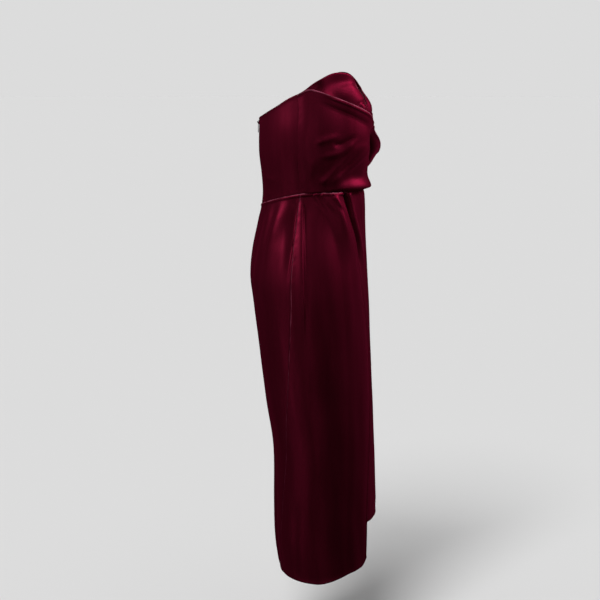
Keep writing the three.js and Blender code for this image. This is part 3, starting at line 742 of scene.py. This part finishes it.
# ---- right skirt front ----
# The over wrap, in velvet, with a pressed tuck beside the side seam and small gathers along the
# waist seam. Its free edge is folded under and rolls off the left front, and its corner at the hem
# is rounded.
WRAP_EDGE = [  # height, distance right of the middle
    (20, 104), (-41, 96), (-71, 91), (-105, 87), (-135, 85), (-186, 79), (-234, 69), (-290, 56),
    (-340, 49), (-458, 50), (-600, 68), (-705, 80), (-880, 92),
]
WRAP_START = 42  # its angle at the waist
HEM_RISE, RISES_FROM, RISES_OVER = 30, 0.45, 0.55  # mm, and shares of the hem
CORNER, CORNER_FROM, CORNER_OVER = 17, 0.93, 0.07  # height of the rounded corner, and its shares
CLIMBS_BEFORE, CLIMBS_OVER = 14, 10  # degrees before the underlap's edge, and in which it climbs
ROLL_AT_WAIST, ROLL_FURTHER_DOWN, ROLL_FADES_TO = 9, 1, -300  # how far the rolled edge stands off
ROLL_INSIDE = 20  # from the free edge to the roll's crest
ROLL_WIDE_OUTSIDE, ROLL_WIDE_INSIDE = 17, 22
RIGHT_TUCKS = [
    (
        [(-6, 12), (-4.6, -33), (-2, -87), (0.5, -151), (1, -216), (-0.5, -283), (-3.5, -380)],
        2, 13, 4.0, (0.15, 0.5),
    ),
    (
        [(-3, 12), (-1.6, -33), (1.8, -87), (4.8, -151), (5.6, -216), (4.4, -300)],
        24, 4, -2.8, (0.2, 0.6),
    ),
    ([(8, 12), (14, -7), (21, -26), (27, -48)], 6, 5, 2.4, (0.02, 0.7)),
    ([(16, 12), (23, -7), (32, -28), (40, -56)], 6, 5, 2.8, (0.02, 0.7)),
    ([(25, 12), (32.5, -8), (42, -32), (48, -60)], 5, 4, 2.6, (0.02, 0.7)),
    ([(29, 12), (34, -20), (40, -50), (46, -90), (52, -140)], 8, 14, 4.0, (0.05, 0.5)),
    ([(20, -120), (21, -220), (22, -340)], 24, 24, -2.8, (0.4, 0.5)),
    ([(44, -120), (46, -220), (46, -330)], 16, 16, 2.0, (0.4, 0.5)),
    ([(36, -300), (34, -460), (32, -640)], 24, 24, 2.0, (0.4, 0.4)),
    ([(2, -420), (-4, -620), (-8, -800)], 22, 24, 2.4, (0.5, 0.4)),
    ([(-22, -600), (-28, -760), (-34, -880)], 14, 16, -2.2, (0.5, 0.1)),
    ([(40, -640), (44, -760), (48, -860)], 14, 16, -1.6, (0.5, 0.1)),
]
wrap_edge_at = curve(*columns_of(WRAP_EDGE))


def right_skirt_front(across, down):
    corner = np.clip((across - CORNER_FROM) / CORNER_OVER, 0, 1)
    rise = HEM_RISE * smooth((across - RISES_FROM) / RISES_OVER)
    foot = HEM + rise + CORNER * (1 - np.sqrt(1 - corner * corner))
    height = skirt_height(mix(SIDE_SEAM, WRAP_START, across), foot, down)
    end = angle_of_right(wrap_edge_at(height), height)
    start = skirt_seam_at(height) + SEAM_GAP / mm_per_degree(height) / 2
    angle = mix(start, end, across)
    under = angle_of_right(underlap_edge_at(height), height)
    layers = LAYER * smooth((angle - under + CLIMBS_BEFORE) / CLIMBS_OVER)
    inside = (end - angle) * mm_per_degree(height) - ROLL_INSIDE
    roll = mix(ROLL_AT_WAIST, ROLL_FURTHER_DOWN, smooth(height / ROLL_FADES_TO))
    roll = roll * bell(inside / np.where(inside < 0, ROLL_WIDE_OUTSIDE, ROLL_WIDE_INSIDE))
    out = layers + roll + fold_lift(RIGHT_TUCKS, angle, height)
    return angle, height, out + unevenness(angle, height, size=0.45)


# A pale line is painted along the top edge at the waist seam and along the side seam: partly pile
# wear, partly painted highlight.
piece = cloth_piece(
    "skirt_front_right_velvet",
    across=shares(186, length=300, crowd=1.15), down=shares(226, length=880, crowd=1.25),
    place=right_skirt_front, seams=[("start", 0.7), ("top", -1.7)],
    folded=[("foot", 0.9, 5), ("end", 1.8, 5)], worn_and_highlit=[("top", 1.4), ("start", 1.2)],
)
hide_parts("skirt_front_right")
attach(piece, "dress")

# ---- zip tapes ----
# The woven tapes of the concealed zip, one sewn down inside each half of the centre back, from just
# under the neckline to below the waist. A coil runs along each tape's edge, where the closed seam
# hides it.
TAPE_START, TAPE_WIDE = 0.35, 11.0  # from the centre back
TAPE_TOP, TAPE_FOOT = 158, -118
TAPE_DEEP = 2.6  # from the velvet's inner side to the tape's
TAPE_THREADS_ACROSS, TAPE_THREADS_DOWN = 12, 737  # lines of the grid
COIL, COIL_PITCH = 0.22, 1.5
COIL_AT, COIL_SPREAD = 0.08, 0.07  # shares of the tape's width
CORD, CORD_SPREAD = 0.6, 0.08  # the stiff edge that the coil is sewn to


def tape_finish(name):
    """Plain ribbed tape, dyed to match."""
    material, tree, shader = new_finish(name, {"Specular IOR Level": 0.3})
    ribs = level_threads(tree, {"Scale": 220.0})
    colour_by(tree, shader, ribs, (0.040, 0.003, 0.009), (0.075, 0.006, 0.017))
    roughness_by(tree, shader, ribs, 0.78, 0.62)
    relief_by(tree, shader, ribs, 0.4, 0.0002)
    return material


zip_tape = tape_finish("zip_tape")


def zip_tape_half(side):
    def place(across, down):
        height = mix(TAPE_TOP, TAPE_FOOT, down)
        angle = CENTRE_BACK + side * mix(TAPE_START, TAPE_WIDE, across) / mm_per_degree(height)
        coil = COIL * np.sin(2 * np.pi * height / COIL_PITCH)
        coil = coil * bell((across - COIL_AT) / COIL_SPREAD)
        cord = CORD * bell((across - COIL_AT) / CORD_SPREAD)
        return angle, height, -TAPE_DEEP - cord + coil
    return place


for name, side in (("zip_tape_right", 1), ("zip_tape_left", -1)):
    piece = cloth_piece(
        name,
        across=np.linspace(0, 1, TAPE_THREADS_ACROSS), down=np.linspace(0, 1, TAPE_THREADS_DOWN),
        place=zip_tape_half(side), finishes=[zip_tape],
    )
    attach(piece, "dress")

# ---- zip slider and pull ----
# Small castings, lacquered to match the cloth. The lacquer is thin and a little uneven. The pull
# hangs on the slider's ring.
lacquer, tree, shader = new_finish("lacquered_metal", {"Metallic": 0.6})
uneven = noise(tree, {"Scale": 420.0, "Detail": 3.0})
thin_and_thick = (0.034, 0.003, 0.008), (0.070, 0.008, 0.017)
colour_by(tree, shader, uneven, *thin_and_thick, low_at=0.3, high_at=0.75)
roughness_by(tree, shader, uneven, 0.28, 0.48)
relief_by(tree, shader, uneven, 0.15, 0.00005)
for name in ("zip_slider", "zip_pull"):
    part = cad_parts[name]
    part.data.materials.clear()
    part.data.materials.append(lacquer)

# ---- studio ----
# A pale floor that meets a pale surround with no line. Two broad lamps light the floor and cast the
# soft shadow on it, and softboxes round the dress light the cloth. Distances are in metres.
SURROUND, FLOOR = 0.716, 0.70  # how pale they are
FLOOR_LEVEL, FLOOR_REACH, FLOOR_CORNERS = -1.09, 60, 64
FLOOR_LAMPS = (  # name, direction, strength, softness in degrees
    ("floor_key", (0.95, -0.22, -1.0), 2.85, 25),
    ("floor_fill", (0.05, -0.05, -1.0), 1.18, 80),
)
SOFTBOXES = (  # name, degrees round from the front, elevation, distance, watts, size
    ("softbox_in_front", 7, 30, 1.6, 26, 0.7),
    ("softbox_front_corner", -26, 30, 1.6, 3.5, 0.6),
    ("softbox_at_side", -84, -8, 3.0, 9.5, 1.6),
    ("softbox_behind", -150, 30, 2.4, 40, 0.6),
    ("softbox_behind_low", -145, -26, 2.2, 3, 0.7),
    ("softbox_overhead", -84, 66, 1.7, 9, 0.6),
    ("softbox_far_side", 92, 16, 3.0, 14, 1.6),
)
matt_paint, *_ = new_finish("pale_floor", {
    "Base Color": (FLOOR, FLOOR, FLOOR, 1), "Roughness": 1.0, "Specular IOR Level": 0.0,
})
floor_mesh = bpy.data.meshes.new("floor")
turns = np.linspace(0, 2 * math.pi, FLOOR_CORNERS, endpoint=False)
floor_edge = [
    (FLOOR_REACH * math.cos(turn), FLOOR_REACH * math.sin(turn), FLOOR_LEVEL) for turn in turns
]
floor_mesh.from_pydata(floor_edge, [], [list(range(FLOOR_CORNERS))])
floor = bpy.data.objects.new("floor", floor_mesh)
bpy.context.scene.collection.objects.link(floor)
floor.data.materials.append(matt_paint)
floor.visible_diffuse = False
floor.visible_glossy = False
floor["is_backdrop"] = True

world = bpy.data.worlds.new("surround")
bpy.context.scene.world = world
world.use_nodes = True
surround = world.node_tree.nodes["Background"]
surround.inputs["Color"].default_value = (SURROUND, SURROUND, SURROUND, 1)
world.cycles_visibility.diffuse = False
world.cycles_visibility.glossy = False

lit_with_floor = bpy.data.collections.new("lit_with_floor")
lit_with_floor.objects.link(floor)
lit_with_dress = bpy.data.collections.new("lit_with_dress")
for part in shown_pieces():
    lit_with_dress.objects.link(part)


def aim_light(name, kind, energy, direction, receivers):
    light_data = bpy.data.lights.new(name, kind)
    light_data.energy = energy
    light = bpy.data.objects.new(name, light_data)
    bpy.context.scene.collection.objects.link(light)
    light.rotation_euler = direction.to_track_quat("-Z", "Y").to_euler()
    light.light_linking.receiver_collection = receivers
    return light


for name, direction, strength, softness in FLOOR_LAMPS:
    lamp = aim_light(name, "SUN", strength, Vector(direction), lit_with_floor)
    lamp.data.angle = math.radians(softness)

for name, azimuth, elevation, distance, watts, size in SOFTBOXES:
    turn, rise = math.radians(azimuth), math.radians(elevation)
    level = math.cos(rise)
    away = Vector((math.sin(turn) * level, -math.cos(turn) * level, math.sin(rise)))
    softbox = aim_light(name, "AREA", watts, -away, lit_with_dress)
    softbox.data.size = size
    softbox.location = away * distance
bpy.context.scene.view_settings.view_transform = "Standard"
